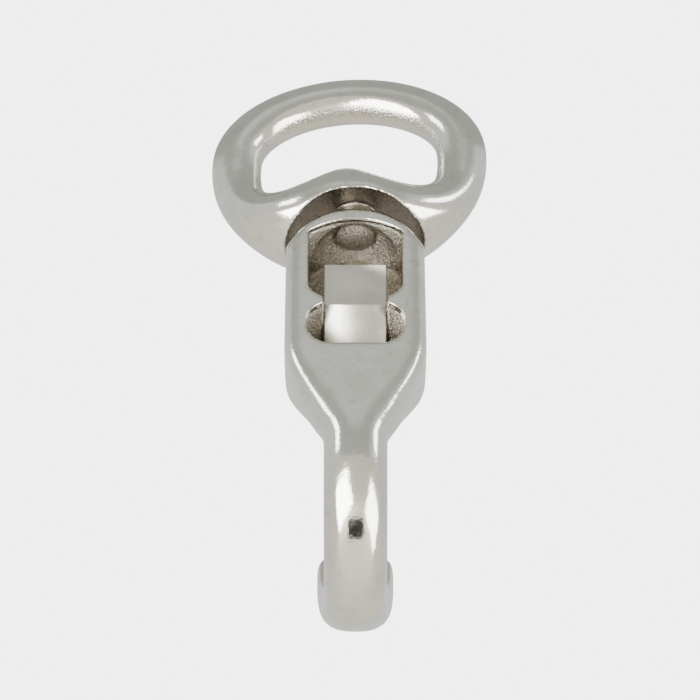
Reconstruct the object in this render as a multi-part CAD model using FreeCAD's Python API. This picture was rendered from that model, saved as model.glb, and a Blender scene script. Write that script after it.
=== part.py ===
import FreeCAD, Part
import math
import os

from FreeCAD import Vector

# Swivel-eye snap hook, millimetres.
# Frame: +Z runs up the swivel axis towards the eye, X is across the hook, the spine faces -Y
# and the gate and nose are on the +Y side. The origin is on the swivel axis, at the top of the
# eye's opening, where the carrying ring or strap bears.
# Inside this file, heights are measured from the centre of the bow; place() moves them up.

# Hook bow and shank
BOW_OUTER_R = 19.6
BOW_INNER_R = 11.8
SHANK_WIDTH = 8.7
NOSE_WIDTH = 11.0
NOSE_WIDEN_FROM = 95.0
NOSE_WIDE_AT = 155.0
NOSE_END_ANGLE = 173.0
NOSE_ROUND_ANGLE = 9.0
NOSE_ROUND_R = 2.4
NOSE_SQUARENESS = 3.0
NOSE_NOTCH_FROM_Y = 4.0
SHOULDER_STARTS = 0.0
SHOULDER_ENDS = 1.45
BACK_SLOPE_STARTS = -0.1
BACK_SLOPE_ENDS = 1.05

# Cage at the top of the hook body
CAGE_WIDTH = 19.8
CAGE_DEPTH = 12.6
CAGE_FOOT_H = 12.5
CAGE_SQUARENESS = 9.0
SHANK_SQUARENESS = 2.3
DOME_R = 11.4
DOME_TOP_H = 37.5
BACK_WALL = 2.4

# Window and cavity of the cage
WINDOW_HALF_WIDTH = 6.7
WINDOW_TOP_H = 33.8
WINDOW_ARCH_SPRING_H = 31.5
WEB_H = 19.0
WEB_HALF_HEIGHT = 0.45
LOWER_POCKET_HALF_WIDTH = 6.85
WINDOW_BOTTOM_H = 11.5
UPPER_POCKET_CORNER_R = 3.2
LOWER_POCKET_CORNER_R = 3.4
CAVITY_DOME_R = 6.5
CAVITY_TOP_H = 36.2

# Swivel eye
EYE_TURN = -4.5
EYE_SIDE_SET = -0.9
EYE_CENTRE_H = 50.4
EYE_OPENING_HALF_WIDTH = 13.0
EYE_OPENING_RISE = 8.4
EYE_OPENING_DROP = 9.4
EYE_OPENING_SQUARENESS = 4.0
EYE_OUTER_HALF_WIDTH = 20.4
EYE_OUTER_RISE = 15.2
EYE_OUTER_DROP = 18.1
EYE_OUTER_SQUARENESS = 2.4
EYE_BAR_HALF_DEPTH = 3.35
HUB_HALF_DEPTH = 9.0
HUB_RISE = 3.6
HUB_RISE_SHARPNESS = 5
HUB_STARTS = 0.1
BAR_SQUARENESS = 2.1
HUB_SQUARENESS = 2.4
DISH_R = 18.0
DISH_TOP_H = 39.9
DISH_WALL_R = 10.0
DISH_CORNER_R = 4.0
COLLAR_R = 2.9
COLLAR_TOP_H = 41.0
COLLAR_SEAT_DEPTH = 0.5
COLLAR_SEAT_ROOM = 0.3

# Swivel rivet
RIVET_R = 1.8
RIVET_HEAD_R = 2.8
RIVET_HEAD_THICK = 1.3
RIVET_SEAT_H = 35.9
RIVET_FLARE_R = 2.5
RIVET_SINK = 0.4
RIVET_HEAD_EDGE = 0.5
RIVET_HEAD_BULGE = (0.62, 0.22)
RIVET_HEAD_ROOM = 0.3
RUNNING_CLEARANCE = 0.05

# Gate, its pin and its spring
GATE_WIDTH = 8.8
GATE_THICK = 1.6
HEEL_FRONT_Y = -2.45
HEEL_TOP_H = 28.4
HEEL_FOOT_H = 21.1
GATE_TIP = (24.3, -4.2)
GATE_OPEN_ANGLE = 17.0
KNUCKLE_R = 2.2
PIN_R = 1.1
SPRING_COIL_R = 1.7
SPRING_WIRE_R = 0.24
SPRING_TURNS = 5.0
SPRING_H = 26.4
SPRING_SEAT_DEPTH = 0.5
SPRING_SEAT_ROOM = 0.2
MOVING_GAP = 0.3
GATE_SHUT_GAP = 0.08
GATE_SIDE_ROOM = 0.15
SWEEP_SIDE_ROOM = 0.35
SWEEP_REACH = 24.0
NOTCH_ROOM = 0.25
SPRING_END_GAP = 0.02
PIN_END_SINK = 0.05
PIN_CHAMFER = 0.2

# Worked out from the above
FRONT_Y = -CAGE_DEPTH / 2
BACK_Y = CAGE_DEPTH / 2
BOW_Y = FRONT_Y + BOW_OUTER_R
EYE_BEARING_H = EYE_CENTRE_H + EYE_OPENING_RISE
RIVET_TOP_H = EYE_CENTRE_H - EYE_OPENING_DROP + HUB_RISE - RIVET_SINK
FLARE_FOOT_H = RIVET_TOP_H - (RIVET_FLARE_R - RIVET_R)
CAVITY_BACK_Y = BACK_Y - BACK_WALL
GATE_SLOPE = math.atan2(GATE_TIP[0] - HEEL_FRONT_Y, HEEL_FOOT_H - GATE_TIP[1])
PIN_Y = HEEL_FRONT_Y + KNUCKLE_R
PIN_H = HEEL_FOOT_H + KNUCKLE_R * (1 - math.cos(GATE_SLOPE)) / math.sin(GATE_SLOPE)
GATE_REACH = math.hypot(GATE_TIP[0] - PIN_Y, GATE_TIP[1] - PIN_H)

# Sections along the neck, the bow and the eye, and the poles round each
NECK_STEPS = 10
BOW_STEPS = 24
NOSE_END_STEPS = 8
EYE_STEPS = 48
SECTION_POLES = 32

# Cutting tools start and end this far past the part, or this little past a face they open
FAR = 60.0
PAST = 1.0

X_AXIS = Vector(1, 0, 0)
Y_AXIS = Vector(0, 1, 0)
Z_AXIS = Vector(0, 0, 1)


def smooth_step(value, start, end):
    """0 before start, 1 after end, and an even S-curve between them."""
    u = min(max((value - start) / (end - start), 0.0), 1.0)
    return u * u * (3 - 2 * u)


def oval_section(centre, outward, half_width, half_depth, squareness, across=X_AXIS):
    """Poles of a smooth closed section: 2 is an ellipse, larger squareness a rounded box."""
    poles = []
    for step in range(SECTION_POLES):
        turn = 2 * math.pi * (step + 0.5) / SECTION_POLES
        c = math.cos(turn)
        s = math.sin(turn)
        u = math.copysign(abs(c) ** (2 / squareness), c) * half_width
        v = math.copysign(abs(s) ** (2 / squareness), s) * half_depth
        poles.append(centre + across * u + outward * v)
    return poles


def section_face(poles):
    """Flat face inside one section's smooth closed curve."""
    count = len(poles)
    curve = Part.BSplineCurve()
    curve.buildFromPolesMultsKnots(poles, [1] * (count + 1), list(range(count + 1)), True, 3)
    return Part.Face(Part.Wire([curve.toShape()]))


def skin(sections, ring):
    """Solid with one smooth skin over the sections, joined end to end when it is a ring."""
    rows = len(sections)
    around = len(sections[0])
    if ring:
        row_mults = [1] * (rows + 1)
    else:
        row_mults = [4] + [1] * (rows - 4) + [4]
    surface = Part.BSplineSurface()
    surface.buildFromPolesMultsKnots(sections, row_mults, [1] * (around + 1),
                                     list(range(len(row_mults))), list(range(around + 1)),
                                     ring, True, 3, 3)
    faces = [surface.toShape()]
    if not ring:
        faces += [section_face(sections[0]), section_face(sections[-1])]
    shell = Part.Shell(faces)
    if not ring:
        shell.sewShape()
    solid = Part.Solid(shell)
    if solid.Volume < 0:
        solid.reverse()
    return solid


def block(x_half, y_low, y_high, z_low, z_high):
    """Box centred on X = 0."""
    corner = Vector(-x_half, y_low, z_low)
    return Part.makeBox(2 * x_half, y_high - y_low, z_high - z_low, corner)


def rounded_block(x_half, y_low, y_high, z_low, z_high, radius):
    """Box whose four edges along Y are rounded."""
    shape = block(x_half, y_low, y_high, z_low, z_high)
    along_y = [e for e in shape.Edges if abs(e.tangentAt(e.FirstParameter).y) > 0.99]
    return shape.makeFillet(radius, along_y)


def side_prism(points, half_width):
    """Solid from a closed outline of (y, height) points, spread evenly about X = 0."""
    corners = [Vector(-half_width, y, z) for y, z in points]
    face = Part.Face(Part.makePolygon(corners + corners[:1]))
    return face.extrude(Vector(2 * half_width, 0, 0))


def bow_frame(angle, radius):
    """Point and outward direction on the bow, angle measured from the spine round its foot."""
    a = math.radians(angle)
    outward = Vector(0, -math.cos(a), -math.sin(a))
    return Vector(0, BOW_Y, 0) + outward * radius, outward


def neck_sections():
    """Sections down the shoulders, from the foot of the cage to the start of the bow."""
    shank_back = BOW_Y - BOW_INNER_R
    sections = []
    for step in range(NECK_STEPS + 1):
        fall = step / NECK_STEPS
        height = CAGE_FOOT_H * (1 - fall)
        wide = 1 - smooth_step(fall, SHOULDER_STARTS, SHOULDER_ENDS)
        deep = 1 - smooth_step(fall, BACK_SLOPE_STARTS, BACK_SLOPE_ENDS)
        squareness = SHANK_SQUARENESS + (CAGE_SQUARENESS - SHANK_SQUARENESS) * wide ** 2
        half_width = (SHANK_WIDTH + wide * (CAGE_WIDTH - SHANK_WIDTH)) / 2
        back = shank_back + deep * (BACK_Y - shank_back)
        centre = Vector(0, (FRONT_Y + back) / 2, height)
        sections.append(oval_section(centre, -Y_AXIS, half_width, (back - FRONT_Y) / 2,
                                     squareness))
    return sections


def bow_sections():
    """Sections round the bow to the rounded end of the nose."""
    mid_radius = (BOW_OUTER_R + BOW_INNER_R) / 2
    half_depth = (BOW_OUTER_R - BOW_INNER_R) / 2
    round_start = NOSE_END_ANGLE - NOSE_ROUND_ANGLE
    sections = []
    for step in range(1, BOW_STEPS + 1):
        angle = round_start * step / BOW_STEPS
        centre, outward = bow_frame(angle, mid_radius)
        widen = smooth_step(angle, NOSE_WIDEN_FROM, NOSE_WIDE_AT)
        half_width = (SHANK_WIDTH + widen * (NOSE_WIDTH - SHANK_WIDTH)) / 2
        squareness = SHANK_SQUARENESS + widen * (NOSE_SQUARENESS - SHANK_SQUARENESS)
        sections.append(oval_section(centre, outward, half_width, half_depth, squareness))
    return sections


def nose_end_sections():
    """Shrinking sections that round off the nose, past the last full section of the bow."""
    mid_radius = (BOW_OUTER_R + BOW_INNER_R) / 2
    half_depth = (BOW_OUTER_R - BOW_INNER_R) / 2
    sections = []
    for step in range(1, NOSE_END_STEPS + 1):
        part_way = math.sin(math.pi / 2 * step / NOSE_END_STEPS)
        angle = NOSE_END_ANGLE - NOSE_ROUND_ANGLE * (1 - part_way)
        centre, outward = bow_frame(angle, mid_radius)
        rounding = NOSE_ROUND_R * (1 - math.sqrt(1 - part_way ** 2))
        sections.append(oval_section(centre, outward, NOSE_WIDTH / 2 - rounding,
                                     half_depth - rounding, NOSE_SQUARENESS))
    return sections


def cage_cavity():
    """Room inside the cage: the window, its two pockets and the domed ceiling."""
    front = FRONT_Y - PAST
    depth = CAVITY_BACK_Y - front
    upper = rounded_block(WINDOW_HALF_WIDTH, front, CAVITY_BACK_Y, WEB_H + WEB_HALF_HEIGHT,
                          DOME_TOP_H, UPPER_POCKET_CORNER_R)
    rise = WINDOW_TOP_H - WINDOW_ARCH_SPRING_H
    arch_r = (WINDOW_HALF_WIDTH ** 2 + rise ** 2) / (2 * rise)
    arch = Part.makeCylinder(arch_r, depth, Vector(0, front, WINDOW_TOP_H - arch_r), Y_AXIS)
    lower = rounded_block(LOWER_POCKET_HALF_WIDTH, front, CAVITY_BACK_Y, WINDOW_BOTTOM_H,
                          WEB_H - WEB_HALF_HEIGHT, LOWER_POCKET_CORNER_R)
    slot = block(GATE_WIDTH / 2 + GATE_SIDE_ROOM, front, CAVITY_BACK_Y, WINDOW_BOTTOM_H,
                 HEEL_TOP_H)
    ceiling = Part.makeSphere(CAVITY_DOME_R, Vector(0, 0, CAVITY_TOP_H - CAVITY_DOME_R))
    ceiling = ceiling.common(block(FAR, -FAR, CAVITY_BACK_Y, 0, CAVITY_TOP_H))
    return upper.common(arch).fuse([lower, slot, ceiling])


def gate_direction(opened):
    """Unit direction along the gate's arm, away from its pin, opened by so many degrees."""
    slope = GATE_SLOPE - math.radians(opened)
    return math.sin(slope), -math.cos(slope)


def gate_sweep():
    """Room that the gate's arm moves through, from shut to open, with the moving gap."""
    arm_y, arm_z = gate_direction(GATE_OPEN_ANGLE)
    below = KNUCKLE_R + MOVING_GAP
    open_start = (PIN_Y + below * arm_z, PIN_H - below * arm_y)
    open_end = (open_start[0] + SWEEP_REACH * arm_y, open_start[1] + SWEEP_REACH * arm_z)
    shut_y, shut_z = gate_direction(0)
    above = GATE_THICK - KNUCKLE_R + MOVING_GAP
    shut_start = (PIN_Y - above * shut_z, PIN_H + above * shut_y)
    shut_end = (shut_start[0] + SWEEP_REACH * shut_y, shut_start[1] + SWEEP_REACH * shut_z)
    half_width = GATE_WIDTH / 2 + SWEEP_SIDE_ROOM
    wedge = side_prism([open_start, open_end, shut_end, shut_start], half_width)
    knuckle_room = Part.makeCylinder(below, 2 * half_width, Vector(-half_width, PIN_Y, PIN_H),
                                     X_AXIS)
    return wedge.fuse(knuckle_room)


def nose_notch():
    """Notch between the nose's cheeks: all within the gate's reach, inside its shut face."""
    shut_y, shut_z = gate_direction(0)
    outside = GATE_THICK - KNUCKLE_R + GATE_SHUT_GAP
    start = (PIN_Y - outside * shut_z, PIN_H + outside * shut_y)
    end = (start[0] + FAR * shut_y, start[1] + FAR * shut_z)
    inner = [start, end, (end[0] - FAR / 2, end[1]), (start[0] - FAR / 2, start[1] - FAR / 2)]
    half_width = GATE_WIDTH / 2 + NOTCH_ROOM
    reach = Part.makeCylinder(GATE_REACH + NOTCH_ROOM, 2 * half_width,
                              Vector(-half_width, PIN_Y, PIN_H), X_AXIS)
    near_nose = block(FAR, BOW_Y + NOSE_NOTCH_FROM_Y, FAR, -BOW_INNER_R, BOW_INNER_R)
    return side_prism(inner, half_width).common(reach).common(near_nose)


def make_hook_body():
    neck = neck_sections()
    cage = section_face(neck[0]).extrude(Z_AXIS * (DOME_TOP_H + PAST - CAGE_FOOT_H))
    hook = skin(neck + bow_sections() + nose_end_sections(), False)
    shape = cage.fuse(hook)
    dome_ball = Part.makeSphere(DOME_R, Vector(0, 0, DOME_TOP_H - DOME_R))
    below_dome = block(FAR, -FAR, FAR, -FAR, DOME_TOP_H - DOME_R)
    shape = shape.common(dome_ball.fuse(below_dome))
    pin_hole = Part.makeCylinder(PIN_R, CAGE_WIDTH + 2 * PAST,
                                 Vector(-CAGE_WIDTH / 2 - PAST, PIN_Y, PIN_H), X_AXIS)
    rivet_bore = Part.makeCylinder(RIVET_R + RUNNING_CLEARANCE, FAR,
                                   Vector(0, 0, RIVET_SEAT_H - PAST))
    head_room = Part.makeCylinder(RIVET_HEAD_R + RIVET_HEAD_ROOM, 2 * RIVET_HEAD_THICK,
                                  Vector(0, 0, RIVET_SEAT_H + RUNNING_CLEARANCE), -Z_AXIS)
    collar_seat = Part.makeCylinder(COLLAR_R + COLLAR_SEAT_ROOM, FAR,
                                    Vector(0, 0, DOME_TOP_H - COLLAR_SEAT_DEPTH))
    spring_seat = Part.makeCylinder(SPRING_COIL_R + SPRING_WIRE_R + SPRING_SEAT_ROOM,
                                    SPRING_SEAT_DEPTH + PAST,
                                    Vector(0, CAVITY_BACK_Y - PAST, SPRING_H), Y_AXIS)
    return shape.cut([cage_cavity(), gate_sweep(), nose_notch(), pin_hole, rivet_bore,
                      head_room, collar_seat, spring_seat])


def eye_reach(angle, half_width, rise, drop, squareness_below):
    """Distance from the eye's centre to an oval that is flatter or deeper below than above."""
    c = abs(math.cos(angle)) / half_width
    if math.sin(angle) >= 0:
        return 1 / math.hypot(c, math.sin(angle) / rise)
    s = abs(math.sin(angle)) / drop
    n = squareness_below
    return 1 / (c ** n + s ** n) ** (1 / n)


def eye_section(degrees):
    """Section of the eye's bar on the half-plane at this angle round the eye's centre."""
    angle = math.radians(degrees)
    outward = Vector(math.cos(angle), 0, math.sin(angle))
    inner = eye_reach(angle, EYE_OPENING_HALF_WIDTH, EYE_OPENING_RISE, EYE_OPENING_DROP,
                      EYE_OPENING_SQUARENESS)
    outer = eye_reach(angle, EYE_OUTER_HALF_WIDTH, EYE_OUTER_RISE, EYE_OUTER_DROP,
                      EYE_OUTER_SQUARENESS)
    foot = max(-math.sin(angle), 0.0)
    inner -= HUB_RISE * foot ** HUB_RISE_SHARPNESS
    hub = smooth_step(foot ** 2, HUB_STARTS, 1.0)
    half_depth = EYE_BAR_HALF_DEPTH + hub * (HUB_HALF_DEPTH - EYE_BAR_HALF_DEPTH)
    centre = Vector(EYE_SIDE_SET, 0, EYE_CENTRE_H) + outward * ((inner + outer) / 2)
    squareness = BAR_SQUARENESS + hub * (HUB_SQUARENESS - BAR_SQUARENESS)
    return oval_section(centre, outward, half_depth, (outer - inner) / 2, squareness, Y_AXIS)


def make_swivel_eye():
    ring = skin([eye_section(90 - 360 * step / EYE_STEPS) for step in range(EYE_STEPS)], True)
    dish = Part.makeSphere(DISH_R, Vector(0, 0, DISH_TOP_H - DISH_R))
    dish = dish.common(Part.makeCylinder(DISH_WALL_R, EYE_CENTRE_H))
    dish_corner = [e for e in dish.Edges if e.Closed and e.CenterOfMass.z > CAGE_FOOT_H]
    dish = dish.makeFillet(DISH_CORNER_R, dish_corner)
    collar_foot = DOME_TOP_H - COLLAR_SEAT_DEPTH + RUNNING_CLEARANCE
    collar = Part.makeCylinder(COLLAR_R, COLLAR_TOP_H - collar_foot, Vector(0, 0, collar_foot))
    bore = Part.makeCylinder(RIVET_R, FAR, Vector(0, 0, collar_foot - PAST))
    flare = Part.makeCone(RIVET_R, RIVET_FLARE_R, RIVET_TOP_H - FLARE_FOOT_H,
                          Vector(0, 0, FLARE_FOOT_H))
    flare_mouth = Part.makeCylinder(RIVET_FLARE_R, PAST, Vector(0, 0, RIVET_TOP_H))
    bore = bore.common(block(FAR, -FAR, FAR, 0, FLARE_FOOT_H + PAST / 2))
    shape = ring.cut(dish).fuse(collar).cut([bore, flare, flare_mouth])
    shape.rotate(Vector(0, 0, 0), Z_AXIS, EYE_TURN)
    return shape


def make_swivel_rivet():
    """Revolved rivet: domed head below the cage's ceiling, shank, flared end in the hub."""
    head_foot = RIVET_SEAT_H - RIVET_HEAD_THICK
    head_edge = RIVET_SEAT_H - RIVET_HEAD_EDGE
    bulge_r, bulge_h = RIVET_HEAD_BULGE
    head = Part.Arc(Vector(0, 0, head_foot), Vector(RIVET_HEAD_R * bulge_r, 0, head_foot + bulge_h),
                    Vector(RIVET_HEAD_R, 0, head_edge))
    corners = [(RIVET_HEAD_R, head_edge), (RIVET_HEAD_R, RIVET_SEAT_H), (RIVET_R, RIVET_SEAT_H),
               (RIVET_R, FLARE_FOOT_H), (RIVET_FLARE_R, RIVET_TOP_H), (0, RIVET_TOP_H),
               (0, head_foot)]
    outline = Part.makePolygon([Vector(r, 0, height) for r, height in corners])
    face = Part.Face(Part.Wire([head.toShape()] + outline.Edges))
    return face.revolve(Vector(0, 0, 0), Z_AXIS, 360)


def make_gate():
    """Flat lever: upright heel, knuckle round the pin and a straight arm to the nose."""
    arm_y, arm_z = gate_direction(0)
    heel = block(GATE_WIDTH / 2, HEEL_FRONT_Y, HEEL_FRONT_Y + GATE_THICK, PIN_H, HEEL_TOP_H)
    low_start = (PIN_Y + KNUCKLE_R * arm_z, PIN_H - KNUCKLE_R * arm_y)
    length = (GATE_TIP[0] - low_start[0]) / arm_y
    up_y = -arm_z * GATE_THICK
    up_z = arm_y * GATE_THICK
    low_end = (low_start[0] + length * arm_y, low_start[1] + length * arm_z)
    arm = side_prism([low_start, low_end, (low_end[0] + up_y, low_end[1] + up_z),
                      (low_start[0] + up_y, low_start[1] + up_z)], GATE_WIDTH / 2)
    left = Vector(-GATE_WIDTH / 2, PIN_Y, PIN_H)
    knuckle = Part.makeCylinder(KNUCKLE_R, GATE_WIDTH, left, X_AXIS)
    bore = Part.makeCylinder(PIN_R + RUNNING_CLEARANCE, GATE_WIDTH, left, X_AXIS)
    reach = Part.makeCylinder(GATE_REACH, GATE_WIDTH, left, X_AXIS)
    return heel.fuse([arm, knuckle]).removeSplitter().common(reach).cut(bore)


def make_gate_pin():
    """Round pin through the cage's cheeks, its ends chamfered and just below the surface."""
    length = CAGE_WIDTH - 2 * PIN_END_SINK
    pin = Part.makeCylinder(PIN_R, length, Vector(-length / 2, PIN_Y, PIN_H), X_AXIS)
    return pin.makeChamfer(PIN_CHAMFER, [edge for edge in pin.Edges if edge.Closed])


def make_gate_spring():
    """Coil between the back of the heel and its seat in the cage's back wall."""
    start_y = HEEL_FRONT_Y + GATE_THICK + SPRING_END_GAP
    length = CAVITY_BACK_Y + SPRING_SEAT_DEPTH - SPRING_END_GAP - start_y
    coil_length = length - 2 * SPRING_WIRE_R
    helix = Part.makeHelix(coil_length / SPRING_TURNS, coil_length, SPRING_COIL_R)
    wire = Part.Wire(Part.makeCircle(SPRING_WIRE_R, Vector(SPRING_COIL_R, 0, 0), Y_AXIS))
    coil = Part.Wire(helix.Edges).makePipeShell([wire], True, True)
    coil.rotate(Vector(0, 0, 0), X_AXIS, -90)
    coil.translate(Vector(0, start_y + SPRING_WIRE_R, SPRING_H))
    return coil


def place(shape):
    """Move a solid from heights above the bow's centre to the part's own frame."""
    moved = shape.copy()
    moved.translate(Vector(0, 0, -EYE_BEARING_H))
    return moved


NODES = {
    "hook_body": make_hook_body,
    "swivel_eye": make_swivel_eye,
    "swivel_rivet": make_swivel_rivet,
    "gate": make_gate,
    "gate_pin": make_gate_pin,
    "gate_spring": make_gate_spring,
}

os.makedirs("parts", exist_ok=True)
for name, make in NODES.items():
    solid = place(make())
    solid.exportStep(os.path.join("parts", name + ".step"))
    print(name, len(solid.Solids), "solid", solid.isValid(), round(solid.Volume, 1), "mm3")
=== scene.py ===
"""Swivel-eye snap hook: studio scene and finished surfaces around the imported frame."""

import math

import bmesh
import bpy
import numpy as np
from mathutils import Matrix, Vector, noise


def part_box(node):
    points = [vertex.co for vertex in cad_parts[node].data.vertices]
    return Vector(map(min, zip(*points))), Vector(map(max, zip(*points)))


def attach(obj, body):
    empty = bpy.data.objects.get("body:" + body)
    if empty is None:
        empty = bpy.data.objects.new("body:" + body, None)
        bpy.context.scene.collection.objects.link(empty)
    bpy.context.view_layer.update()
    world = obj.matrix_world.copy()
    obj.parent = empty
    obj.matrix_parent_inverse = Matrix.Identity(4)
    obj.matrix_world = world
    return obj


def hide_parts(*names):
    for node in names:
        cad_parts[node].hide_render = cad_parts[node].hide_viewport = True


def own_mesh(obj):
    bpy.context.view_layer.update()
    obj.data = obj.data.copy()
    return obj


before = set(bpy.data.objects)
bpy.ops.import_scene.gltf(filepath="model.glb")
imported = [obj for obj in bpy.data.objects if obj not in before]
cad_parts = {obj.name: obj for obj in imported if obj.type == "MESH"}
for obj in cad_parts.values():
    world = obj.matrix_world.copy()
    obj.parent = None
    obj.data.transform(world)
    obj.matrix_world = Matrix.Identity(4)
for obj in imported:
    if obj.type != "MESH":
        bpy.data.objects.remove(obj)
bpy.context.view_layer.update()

MM = 0.001

# Camera: below the hook's foot end, looking up at its spine side; angles in degrees
VIEW_ELEVATION = -38.0
VIEW_ANGLE = 14.45
VIEW_DISTANCE = 0.378
SENSOR_WIDTH_MM = 36.0
CLIP_NEAR = 0.01
CLIP_FAR = 50.0
AIM_SIDE = -0.75 * MM
AIM_UP_THE_HOOK = 29.5 * MM

# Studio light that arrives from each direction, as a linear colour
FRONT_LIGHT = (0.90, 0.91, 0.87)
LOW_FRONT_LIGHT = (0.64, 0.645, 0.61)
BESIDE_LIGHT = (0.66, 0.665, 0.63)
AROUND_LIGHT = (1.02, 1.02, 0.99)
ABOVE_LIGHT = (0.56, 0.565, 0.535)

# The backdrop as the camera sees it, which lights nothing
BACKDROP_COLOUR = (1.0, 1.0, 1.0)
BACKDROP_STRENGTH = 5.0

# Studio floor, which gives off some light of its own
FLOOR_DROP = 0.50
FLOOR_HALF_SIZE = 6.0
FLOOR_COLOUR = (0.84, 0.785, 0.70)
FLOOR_ROUGHNESS = 0.9
FLOOR_GLOW = 0.60

# Soft boxes: azimuth and elevation in degrees, width and height in metres, power in watts
SOFT_BOXES = {
    "left_box": (-42, -38, 0.54, 0.46, 10.5),
    "right_box": (66, -40, 0.52, 0.46, 6.5),
    "left_strip": (-50, 16, 0.16, 0.22, 0.8),
    "right_strip": (60, 16, 0.16, 0.22, 0.7),
}
SOFT_BOX_DISTANCE = 0.62
SOFT_BOX_COLOUR = (1.0, 0.99, 0.96)

# Black card that leaves a small dark glint in the plating, in degrees and metres
DARK_CARD_AZIMUTH = 2.0
DARK_CARD_ELEVATION = -67.0
DARK_CARD_DISTANCE = 0.40
DARK_CARD_HALF_WIDTH = 0.115
DARK_CARD_HALF_HEIGHT = 0.064
DARK_CARD_COLOUR = (0.01, 0.01, 0.01)
DARK_CARD_ROUGHNESS = 0.6

# Metals, as linear base colours
PLATE_BRIGHT = (0.71, 0.705, 0.66)
PLATE_DULL = (0.65, 0.645, 0.595)
PLATE_STAIN = (0.54, 0.52, 0.455)
AS_CAST_DARK = (0.40, 0.365, 0.31)
AS_CAST_LIGHT = (0.66, 0.62, 0.54)
# Painted shade: the dark brown that the cage's hollow and the eye's dish are pulled towards
PAINTED_SHADE_COLOUR = (0.15, 0.125, 0.095)
GATE_BRIGHT = (0.66, 0.645, 0.60)
GATE_DULL = (0.59, 0.565, 0.515)
RIVET_DARK = (0.26, 0.235, 0.195)
RIVET_LIGHT = (0.44, 0.405, 0.345)
SPRING_DARK = (0.36, 0.35, 0.33)
SPRING_LIGHT = (0.48, 0.47, 0.45)
SPRING_ROUGHNESS = 0.24
PIN_DARK = (0.58, 0.56, 0.52)
PIN_LIGHT = (0.68, 0.66, 0.62)
PIN_ROUGHNESS = 0.20

# Castings: pitch of the remesh and how far the edges are rounded
WELD_DISTANCE = 1e-6
BODY_VOXEL = 0.24 * MM
BODY_SMOOTH_PASSES = 5
EYE_VOXEL = 0.22 * MM
EYE_SMOOTH_PASSES = 20
SMOOTH_FACTOR = 0.5

# Cage: where the as-cast skin lies, how lumpy it is and how much painted shade darkens it
CAVITY_ROUGHNESS = 0.07 * MM
CAVITY_GRAIN = 0.6 * MM
CAVITY_SIDE_ROOM = 2.75 * MM
CAVITY_DEPTH_BELOW_PIN = 11.0 * MM
CAVITY_HEIGHT_OVER_RIVET = 2.2 * MM
CAVITY_PAINTED_SHADE = 0.15

# Eye: granular inner face of the opening, and the dish under the hub with its painted shade
EYE_CENTRE_DROP = 15.2 * MM
INNER_FACE_ROUGH = 0.3
DISH_ROUGH = 0.3
DISH_PAINTED_SHADE = 0.75
DISH_RADIUS = 9.8 * MM
DISH_BELOW_TOP = 25.5 * MM
DISH_EDGE_FADE = 0.4 * MM

# Gate strip: angle between its heel and its arm, and its broken edges; angles in degrees
GATE_BEND = math.radians(46.6)
GATE_BEND_TOLERANCE = 0.03 * MM
GATE_FLAT_ANGLE = 2.0
GATE_EDGE_ANGLE = 35.0
GATE_EDGE_WIDTH = 0.18 * MM
GATE_EDGE_SEGMENTS = 3

# Gate spring: its wire and coil, and how much its pitch closes up towards its ends
SPRING_WIRE_R = 0.24 * MM
SPRING_TURNS = 6.0
SPRING_STEPS_PER_TURN = 24
SPRING_END_CLOSING = 0.6
SPRING_BEVEL_STEPS = 4


# ---------------------------------------------------------------- meshes

def new_piece(name, mesh):
    piece = bpy.data.objects.new(name, mesh)
    bpy.context.scene.collection.objects.link(piece)
    return piece


def evaluated_mesh(piece):
    """Mesh of a piece with its modifiers applied."""
    graph = bpy.context.evaluated_depsgraph_get()
    return bpy.data.meshes.new_from_object(piece.evaluated_get(graph))


def bake_modifiers(piece):
    """Replace a piece's mesh by the modified one and drop its modifiers."""
    mesh = evaluated_mesh(piece)
    piece.modifiers.clear()
    piece.data = mesh


def copy_of_node(node, name):
    """Welded copy of a CAD node's mesh, as a new piece."""
    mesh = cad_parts[node].data.copy()
    mesh.materials.clear()
    shape = bmesh.new()
    shape.from_mesh(mesh)
    bmesh.ops.remove_doubles(shape, verts=shape.verts, dist=WELD_DISTANCE)
    shape.to_mesh(mesh)
    shape.free()
    return new_piece(name, mesh)


def cast_copy(node, name, voxel, passes):
    """Copy of a node with the softly rounded edges of a casting."""
    piece = copy_of_node(node, name)
    remesh = piece.modifiers.new("remesh", "REMESH")
    remesh.mode = "VOXEL"
    remesh.voxel_size = voxel
    soften = piece.modifiers.new("soften", "SMOOTH")
    soften.factor = SMOOTH_FACTOR
    soften.iterations = passes
    bake_modifiers(piece)
    shade_smooth(piece)
    return piece


def shade_smooth(piece):
    piece.data.polygons.foreach_set("use_smooth", [True] * len(piece.data.polygons))


def smooth_step(value, start, end):
    """0 before start, 1 after end, for a number or an array."""
    u = np.clip((value - start) / (end - start), 0.0, 1.0)
    return u * u * (3 - 2 * u)


def point_arrays(piece):
    """Places and normals of a piece's points, as two arrays of rows."""
    count = len(piece.data.vertices)
    places = np.empty(3 * count)
    normals = np.empty(3 * count)
    piece.data.vertices.foreach_get("co", places)
    piece.data.vertices.foreach_get("normal", normals)
    return places.reshape(-1, 3), normals.reshape(-1, 3)


def write_attribute(piece, name, values):
    """Store one number for each point of a piece, for its material to read."""
    attribute = piece.data.attributes.new(name, "FLOAT", "POINT")
    attribute.data.foreach_set("value", values)


# ---------------------------------------------------------------- materials

def link(tree, source, target):
    tree.links.new(source, target)


def noise_node(tree, coords, scale, detail=3.0, roughness=0.55):
    node = tree.nodes.new("ShaderNodeTexNoise")
    node.inputs["Scale"].default_value = scale
    node.inputs["Detail"].default_value = detail
    node.inputs["Roughness"].default_value = roughness
    link(tree, coords, node.inputs["Vector"])
    return node.outputs["Fac"]


def remap(tree, value, low, high, out_low, out_high):
    node = tree.nodes.new("ShaderNodeMapRange")
    node.interpolation_type = "SMOOTHSTEP"
    for key, number in (("From Min", low), ("From Max", high),
                        ("To Min", out_low), ("To Max", out_high)):
        node.inputs[key].default_value = number
    link(tree, value, node.inputs["Value"])
    return node.outputs["Result"]


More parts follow.
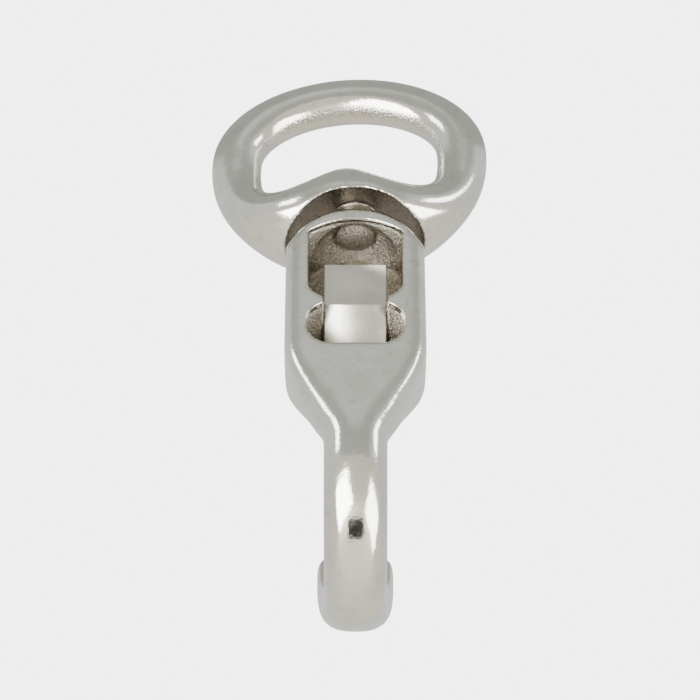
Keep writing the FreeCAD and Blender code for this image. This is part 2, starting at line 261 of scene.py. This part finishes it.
def arithmetic(tree, operation, a, b):
    node = tree.nodes.new("ShaderNodeMath")
    node.operation = operation
    for socket, value in zip(node.inputs, (a, b)):
        if isinstance(value, (int, float)):
            socket.default_value = value
        else:
            link(tree, value, socket)
    return node.outputs[0]


def mix_colour(tree, factor, first, second):
    node = tree.nodes.new("ShaderNodeMix")
    node.data_type = "RGBA"
    link(tree, factor, node.inputs["Factor"])
    for socket, value in ((node.inputs[6], first), (node.inputs[7], second)):
        if isinstance(value, tuple):
            socket.default_value = (*value, 1.0)
        else:
            link(tree, value, socket)
    return node.outputs[2]


def bump(tree, height, distance, strength=1.0, normal=None):
    node = tree.nodes.new("ShaderNodeBump")
    node.inputs["Strength"].default_value = strength
    node.inputs["Distance"].default_value = distance
    link(tree, height, node.inputs["Height"])
    if normal is not None:
        link(tree, normal, node.inputs["Normal"])
    return node.outputs["Normal"]


def metal(name):
    """Fresh metal material: its tree, its shader and object-space coordinates."""
    material = bpy.data.materials.new(name)
    material.use_nodes = True
    tree = material.node_tree
    shader = tree.nodes["Principled BSDF"]
    shader.inputs["Metallic"].default_value = 1.0
    coords = tree.nodes.new("ShaderNodeTexCoord").outputs["Object"]
    return material, tree, shader, coords


def attribute_value(tree, name):
    node = tree.nodes.new("ShaderNodeAttribute")
    node.attribute_name = name
    return node.outputs["Fac"]


def plated_casting():
    """Bright nickel over a casting: soft ripples, fine pits and stains, coarse where 'rough',
    darkened by painted shade in hollows.
    """
    material, tree, shader, coords = metal("plated_casting")
    rough_area = attribute_value(tree, "rough")
    clouds = noise_node(tree, coords, 190.0, 4.0)
    stains = noise_node(tree, coords, 620.0, 5.0, 0.65)
    grain = noise_node(tree, coords, 2600.0, 3.0)
    ripple = noise_node(tree, coords, 330.0, 2.0)
    coarse = noise_node(tree, coords, 2600.0, 3.0, 0.6)

    bright = mix_colour(tree, remap(tree, clouds, 0.35, 0.7, 0.0, 1.0),
                        PLATE_BRIGHT, PLATE_DULL)
    stained = mix_colour(tree, remap(tree, stains, 0.54, 0.70, 0.0, 0.62),
                         bright, PLATE_STAIN)
    dark = mix_colour(tree, remap(tree, coarse, 0.35, 0.7, 0.0, 1.0),
                      AS_CAST_DARK, AS_CAST_LIGHT)
    plate = mix_colour(tree, rough_area, stained, dark)
    # Painted shade: the colour is pulled towards dark brown in the cage's hollow and the eye's
    # dish
    link(tree, mix_colour(tree, attribute_value(tree, "painted_shade"), plate, PAINTED_SHADE_COLOUR),
         shader.inputs["Base Color"])

    polish = remap(tree, clouds, 0.3, 0.75, 0.07, 0.16)
    smudged = arithmetic(tree, "ADD", polish, remap(tree, stains, 0.55, 0.8, 0.0, 0.12))
    as_cast = arithmetic(tree, "MULTIPLY", rough_area, 0.22)
    link(tree, arithmetic(tree, "ADD", smudged, as_cast), shader.inputs["Roughness"])

    rippled = bump(tree, ripple, 0.08 * MM, 0.60)
    pitted = bump(tree, remap(tree, grain, 0.25, 0.75, 0.0, 1.0), 0.010 * MM, 0.6, rippled)
    cast_height = arithmetic(tree, "MULTIPLY", coarse, rough_area)
    link(tree, bump(tree, cast_height, 0.45 * MM, 0.9, pitted), shader.inputs["Normal"])
    return material


def smooth_steel():
    """Plated flat steel of the gate: smooth, with faint drawing lines along it."""
    material, tree, shader, coords = metal("smooth_steel")
    stretch = tree.nodes.new("ShaderNodeMapping")
    stretch.inputs["Scale"].default_value = (1.0, 0.06, 0.06)
    link(tree, coords, stretch.inputs["Vector"])
    lines = noise_node(tree, stretch.outputs["Vector"], 5200.0, 3.0)
    clouds = noise_node(tree, coords, 260.0, 4.0)
    tarnish = noise_node(tree, coords, 150.0, 3.0, 0.6)
    colour = mix_colour(tree, remap(tree, tarnish, 0.4, 0.72, 0.0, 1.0),
                        GATE_BRIGHT, GATE_DULL)
    link(tree, colour, shader.inputs["Base Color"])
    link(tree, remap(tree, clouds, 0.3, 0.7, 0.26, 0.34), shader.inputs["Roughness"])
    waves = bump(tree, clouds, 0.02 * MM, 0.5)
    link(tree, bump(tree, lines, 0.004 * MM, 0.5, waves), shader.inputs["Normal"])
    return material


def hammered_steel():
    """Peened rivet: small hammer marks and a duller, browner plate."""
    material, tree, shader, coords = metal("hammered_steel")
    marks = noise_node(tree, coords, 2600.0, 3.0, 0.6)
    clouds = noise_node(tree, coords, 700.0, 4.0)
    colour = mix_colour(tree, remap(tree, marks, 0.35, 0.7, 0.0, 1.0),
                        RIVET_DARK, RIVET_LIGHT)
    link(tree, colour, shader.inputs["Base Color"])
    link(tree, remap(tree, clouds, 0.3, 0.7, 0.42, 0.58), shader.inputs["Roughness"])
    link(tree, bump(tree, marks, 0.45 * MM, 0.9), shader.inputs["Normal"])
    return material


def turned_steel(name, colour_low, colour_high, roughness):
    """Pin or spring wire: fine drawing marks with a patchy plate."""
    material, tree, shader, coords = metal(name)
    marks = noise_node(tree, coords, 4200.0, 3.0)
    clouds = noise_node(tree, coords, 700.0, 4.0)
    colour = mix_colour(tree, remap(tree, clouds, 0.35, 0.7, 0.0, 1.0), colour_low, colour_high)
    link(tree, colour, shader.inputs["Base Color"])
    link(tree, remap(tree, clouds, 0.3, 0.7, roughness, roughness + 0.12),
         shader.inputs["Roughness"])
    link(tree, bump(tree, marks, 0.008 * MM, 0.5), shader.inputs["Normal"])
    return material


# ---------------------------------------------------------------- pieces

def make_body(material):
    """Hook casting: rounded edges everywhere, lumpy as-cast skin inside the cage, darkened there
    by painted shade.
    """
    piece = cast_copy("hook_body", "hook_casting", BODY_VOXEL, BODY_SMOOTH_PASSES)
    places, normals = point_arrays(piece)
    x, y, z = places.T
    front_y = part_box("hook_body")[0].y
    gate_low, gate_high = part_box("gate")
    back_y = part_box("gate_spring")[1].y
    floor_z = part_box("gate_pin")[0].z - CAVITY_DEPTH_BELOW_PIN
    ceiling_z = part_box("swivel_rivet")[0].z + CAVITY_HEIGHT_OVER_RIVET
    half_width = (gate_high.x - gate_low.x) / 2 + CAVITY_SIDE_ROOM
    rough = smooth_step(half_width - np.abs(x), 0.0, 0.35 * MM)
    rough *= smooth_step(y - front_y, 0.7 * MM, 1.6 * MM)
    rough *= 1 - smooth_step(y, back_y + 0.2 * MM, back_y + 0.6 * MM)
    rough *= smooth_step(z, floor_z, floor_z + 1.0 * MM)
    rough *= 1 - smooth_step(z, ceiling_z, ceiling_z + 0.4 * MM)
    for index in np.nonzero(rough > 0)[0]:
        lump = noise.fractal(Vector(places[index] / CAVITY_GRAIN), 0.9, 2.1, 3)
        places[index] += normals[index] * (lump * rough[index] * CAVITY_ROUGHNESS)
    piece.data.vertices.foreach_set("co", places.ravel())
    write_attribute(piece, "rough", rough)
    # Painted shade: the inside of the cage is darkened as if in shadow
    write_attribute(piece, "painted_shade", CAVITY_PAINTED_SHADE * rough)
    piece.data.materials.append(material)
    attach(piece, "hook")
    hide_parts("hook_body")


def make_eye(material):
    """Eye casting: smooth outside, granular on the inner face of the opening and in the dish, the
    dish darkened by painted shade.
    """
    piece = cast_copy("swivel_eye", "eye_casting", EYE_VOXEL, EYE_SMOOTH_PASSES)
    places, normals = point_arrays(piece)
    low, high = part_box("swivel_eye")
    centre = np.array([(low.x + high.x) / 2, 0.0, high.z - EYE_CENTRE_DROP])
    inward = centre - places
    inward[:, 1] = 0
    inward /= np.linalg.norm(inward, axis=1)[:, None]
    facing = (inward * normals).sum(axis=1)
    granular = INNER_FACE_ROUGH * smooth_step(facing, 0.72, 0.94)
    from_axis = np.hypot(places[:, 0], places[:, 1])
    outward = (places[:, :2] * normals[:, :2]).sum(axis=1) / np.maximum(from_axis, MM)
    rim = smooth_step(outward, 0.0, 0.4) * smooth_step(from_axis, 4.0 * MM, 5.0 * MM)
    roof = high.z - DISH_BELOW_TOP
    dished = (1 - smooth_step(places[:, 2], roof, roof + DISH_EDGE_FADE)) * (1 - rim)
    dished *= 1 - smooth_step(from_axis, DISH_RADIUS, DISH_RADIUS + DISH_EDGE_FADE)
    write_attribute(piece, "rough", np.maximum(granular, DISH_ROUGH * dished))
    # Painted shade: the dish under the hub is darkened as if in shadow
    write_attribute(piece, "painted_shade", DISH_PAINTED_SHADE * dished)
    piece.data.materials.append(material)
    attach(piece, "eye")
    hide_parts("swivel_eye")


def make_gate(material):
    """Gate strip: crisp bend at its heel, edges just broken."""
    piece = copy_of_node("gate", "gate_strip")
    pin_low, pin_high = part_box("gate_pin")
    pin = (pin_low + pin_high) / 2
    radius = pin.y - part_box("gate")[0].y
    shape = bmesh.new()
    shape.from_mesh(piece.data)
    for vertex in shape.verts:
        y = vertex.co.y - pin.y
        z = vertex.co.z - pin.z
        turned = math.atan2(-z, -y)
        if abs(math.hypot(y, z) - radius) < GATE_BEND_TOLERANCE and 0 <= turned <= GATE_BEND:
            stretch = 1 / math.cos(min(turned, GATE_BEND - turned))
            vertex.co.y = pin.y + y * stretch
            vertex.co.z = pin.z + z * stretch
    bmesh.ops.dissolve_limit(shape, angle_limit=math.radians(GATE_FLAT_ANGLE),
                             verts=shape.verts, edges=shape.edges)
    shape.to_mesh(piece.data)
    shape.free()
    edge = piece.modifiers.new("edge", "BEVEL")
    edge.width = GATE_EDGE_WIDTH
    edge.segments = GATE_EDGE_SEGMENTS
    edge.limit_method = "ANGLE"
    edge.angle_limit = math.radians(GATE_EDGE_ANGLE)
    edge.harden_normals = True
    shade_smooth(piece)
    bake_modifiers(piece)
    piece.data.materials.append(material)
    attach(piece, "gate")
    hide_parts("gate")


def make_spring(material):
    """Closed-end coil between the heel and the back wall of the cage."""
    low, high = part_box("gate_spring")
    coil = (high.x - low.x) / 2 - SPRING_WIRE_R
    centre_z = (high.z + low.z) / 2
    count = int(SPRING_TURNS * SPRING_STEPS_PER_TURN)
    last = SPRING_TURNS + SPRING_END_CLOSING
    start = smooth_step(0.0, -SPRING_END_CLOSING, last)
    curve = bpy.data.curves.new("gate_coil", "CURVE")
    curve.dimensions = "3D"
    curve.bevel_depth = SPRING_WIRE_R
    curve.bevel_resolution = SPRING_BEVEL_STEPS
    curve.use_fill_caps = True
    line = curve.splines.new("POLY")
    line.points.add(count)
    for step in range(count + 1):
        turn = SPRING_TURNS * step / count
        along = smooth_step(turn, -SPRING_END_CLOSING, last)
        along = (along - start) / (1 - 2 * start)
        y = low.y + SPRING_WIRE_R + along * (high.y - low.y - 2 * SPRING_WIRE_R)
        angle = 2 * math.pi * turn
        line.points[step].co = (coil * math.cos(angle), y, centre_z + coil * math.sin(angle), 1)
    source = new_piece("gate_coil_line", curve)
    mesh = evaluated_mesh(source)
    bpy.data.objects.remove(source)
    piece = new_piece("gate_coil", mesh)
    shade_smooth(piece)
    piece.data.materials.append(material)
    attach(piece, "hook")
    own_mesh(piece)
    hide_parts("gate_spring")


def finish_node(node, material):
    """Give a CAD node that stays as it is its finished material."""
    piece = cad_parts[node]
    piece.data.materials.clear()
    piece.data.materials.append(material)


# ---------------------------------------------------------------- studio

def make_world():
    """White studio: bright all round, greyer above, low in front and beside the camera."""
    world = bpy.data.worlds.new("studio")
    bpy.context.scene.world = world
    world.use_nodes = True
    tree = world.node_tree
    tree.nodes.clear()
    direction = tree.nodes.new("ShaderNodeTexCoord").outputs["Generated"]
    split = tree.nodes.new("ShaderNodeSeparateXYZ")
    link(tree, direction, split.inputs[0])
    sideways = arithmetic(tree, "ABSOLUTE", split.outputs["X"], 0.0)
    beside = remap(tree, sideways, 0.10, 0.30, 0.0, 1.0)
    front = mix_colour(tree, beside, FRONT_LIGHT, BESIDE_LIGHT)
    around = arithmetic(tree, "MAXIMUM", remap(tree, split.outputs["Y"], -0.45, 0.10, 0.0, 1.0),
                        remap(tree, sideways, 0.45, 0.75, 0.0, 1.0))
    low = remap(tree, split.outputs["Z"], 0.22, 0.50, 1.0, 0.0)
    front = mix_colour(tree, low, front, LOW_FRONT_LIGHT)
    level = mix_colour(tree, around, front, AROUND_LIGHT)
    above = remap(tree, split.outputs["Z"], 0.62, 0.72, 0.0, 1.0)
    colour = mix_colour(tree, above, level, ABOVE_LIGHT)
    seen = tree.nodes.new("ShaderNodeLightPath").outputs["Is Camera Ray"]
    shown = mix_colour(tree, seen, colour, BACKDROP_COLOUR)
    background = tree.nodes.new("ShaderNodeBackground")
    link(tree, shown, background.inputs["Color"])
    link(tree, remap(tree, seen, 0.0, 1.0, 1.0, BACKDROP_STRENGTH), background.inputs["Strength"])
    output = tree.nodes.new("ShaderNodeOutputWorld")
    link(tree, background.outputs[0], output.inputs["Surface"])


def direction_from(azimuth, elevation):
    """Unit vector from the object towards an azimuth (0 is the spine side) and elevation."""
    a = math.radians(azimuth)
    e = math.radians(elevation)
    return Vector((math.sin(a) * math.cos(e), -math.cos(a) * math.cos(e), math.sin(e)))


def soft_box(name, aim, azimuth, elevation, width, height, watts):
    """Rectangular studio light aimed at the object, unseen by the camera itself."""
    light = bpy.data.lights.new(name, "AREA")
    light.shape = "RECTANGLE"
    light.size = width
    light.size_y = height
    light.energy = watts
    light.color = SOFT_BOX_COLOUR
    piece = bpy.data.objects.new(name, light)
    bpy.context.scene.collection.objects.link(piece)
    towards = direction_from(azimuth, elevation)
    piece.location = aim + towards * SOFT_BOX_DISTANCE
    piece.rotation_euler = (-towards).to_track_quat("-Z", "Y").to_euler()
    piece.visible_camera = False


def plain_surface(name, colour, roughness, glow=0.0):
    """Plain matt surface, which may give off some light of its own colour."""
    material = bpy.data.materials.new(name)
    material.use_nodes = True
    shader = material.node_tree.nodes["Principled BSDF"]
    shader.inputs["Base Color"].default_value = (*colour, 1.0)
    shader.inputs["Roughness"].default_value = roughness
    shader.inputs["Emission Color"].default_value = (*colour, 1.0)
    shader.inputs["Emission Strength"].default_value = glow
    return material


def flat_panel(name, centre, across, up, material):
    """Flat four-sided piece of the studio, spanned by two half-width vectors."""
    mesh = bpy.data.meshes.new(name)
    corners = [centre - across - up, centre + across - up, centre + across + up,
               centre - across + up]
    mesh.from_pydata([tuple(corner) for corner in corners], [], [(0, 1, 2, 3)])
    mesh.materials.append(material)
    new_piece(name, mesh)


def make_studio(aim):
    make_world()
    flat_panel("floor", Vector((0, 0, aim.z - FLOOR_DROP)), Vector((FLOOR_HALF_SIZE, 0, 0)),
               Vector((0, FLOOR_HALF_SIZE, 0)),
               plain_surface("floor_paint", FLOOR_COLOUR, FLOOR_ROUGHNESS, FLOOR_GLOW))
    for name, setting in SOFT_BOXES.items():
        soft_box(name, aim, *setting)


def make_camera(aim):
    data = bpy.data.cameras.new("camera")
    data.sensor_width = SENSOR_WIDTH_MM
    data.angle = math.radians(VIEW_ANGLE)
    data.clip_start = CLIP_NEAR
    data.clip_end = CLIP_FAR
    camera = bpy.data.objects.new("camera", data)
    bpy.context.scene.collection.objects.link(camera)
    towards = direction_from(0, VIEW_ELEVATION)
    camera.location = aim + towards * VIEW_DISTANCE
    camera.rotation_euler = (-towards).to_track_quat("-Z", "Y").to_euler()
    bpy.context.scene.camera = camera


def make_dark_card(aim):
    """Black card low in front of the object: the small dark glint in the plating."""
    towards = direction_from(DARK_CARD_AZIMUTH, DARK_CARD_ELEVATION)
    sideways = Vector((1, 0, 0))
    upward = towards.cross(sideways)
    flat_panel("dark_card", aim + towards * DARK_CARD_DISTANCE, sideways * DARK_CARD_HALF_WIDTH,
               upward * DARK_CARD_HALF_HEIGHT,
               plain_surface("card_black", DARK_CARD_COLOUR, DARK_CARD_ROUGHNESS))


casting = plated_casting()
make_body(casting)
make_eye(casting)
make_gate(smooth_steel())
make_spring(turned_steel("spring_wire", SPRING_DARK, SPRING_LIGHT, SPRING_ROUGHNESS))
finish_node("swivel_rivet", hammered_steel())
finish_node("gate_pin", turned_steel("pin_steel", PIN_DARK, PIN_LIGHT, PIN_ROUGHNESS))

body_low, body_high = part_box("hook_body")
AIM = Vector((AIM_SIDE, body_low.y, body_low.z + AIM_UP_THE_HOOK))
make_camera(AIM)
make_studio(AIM)
make_dark_card(AIM)
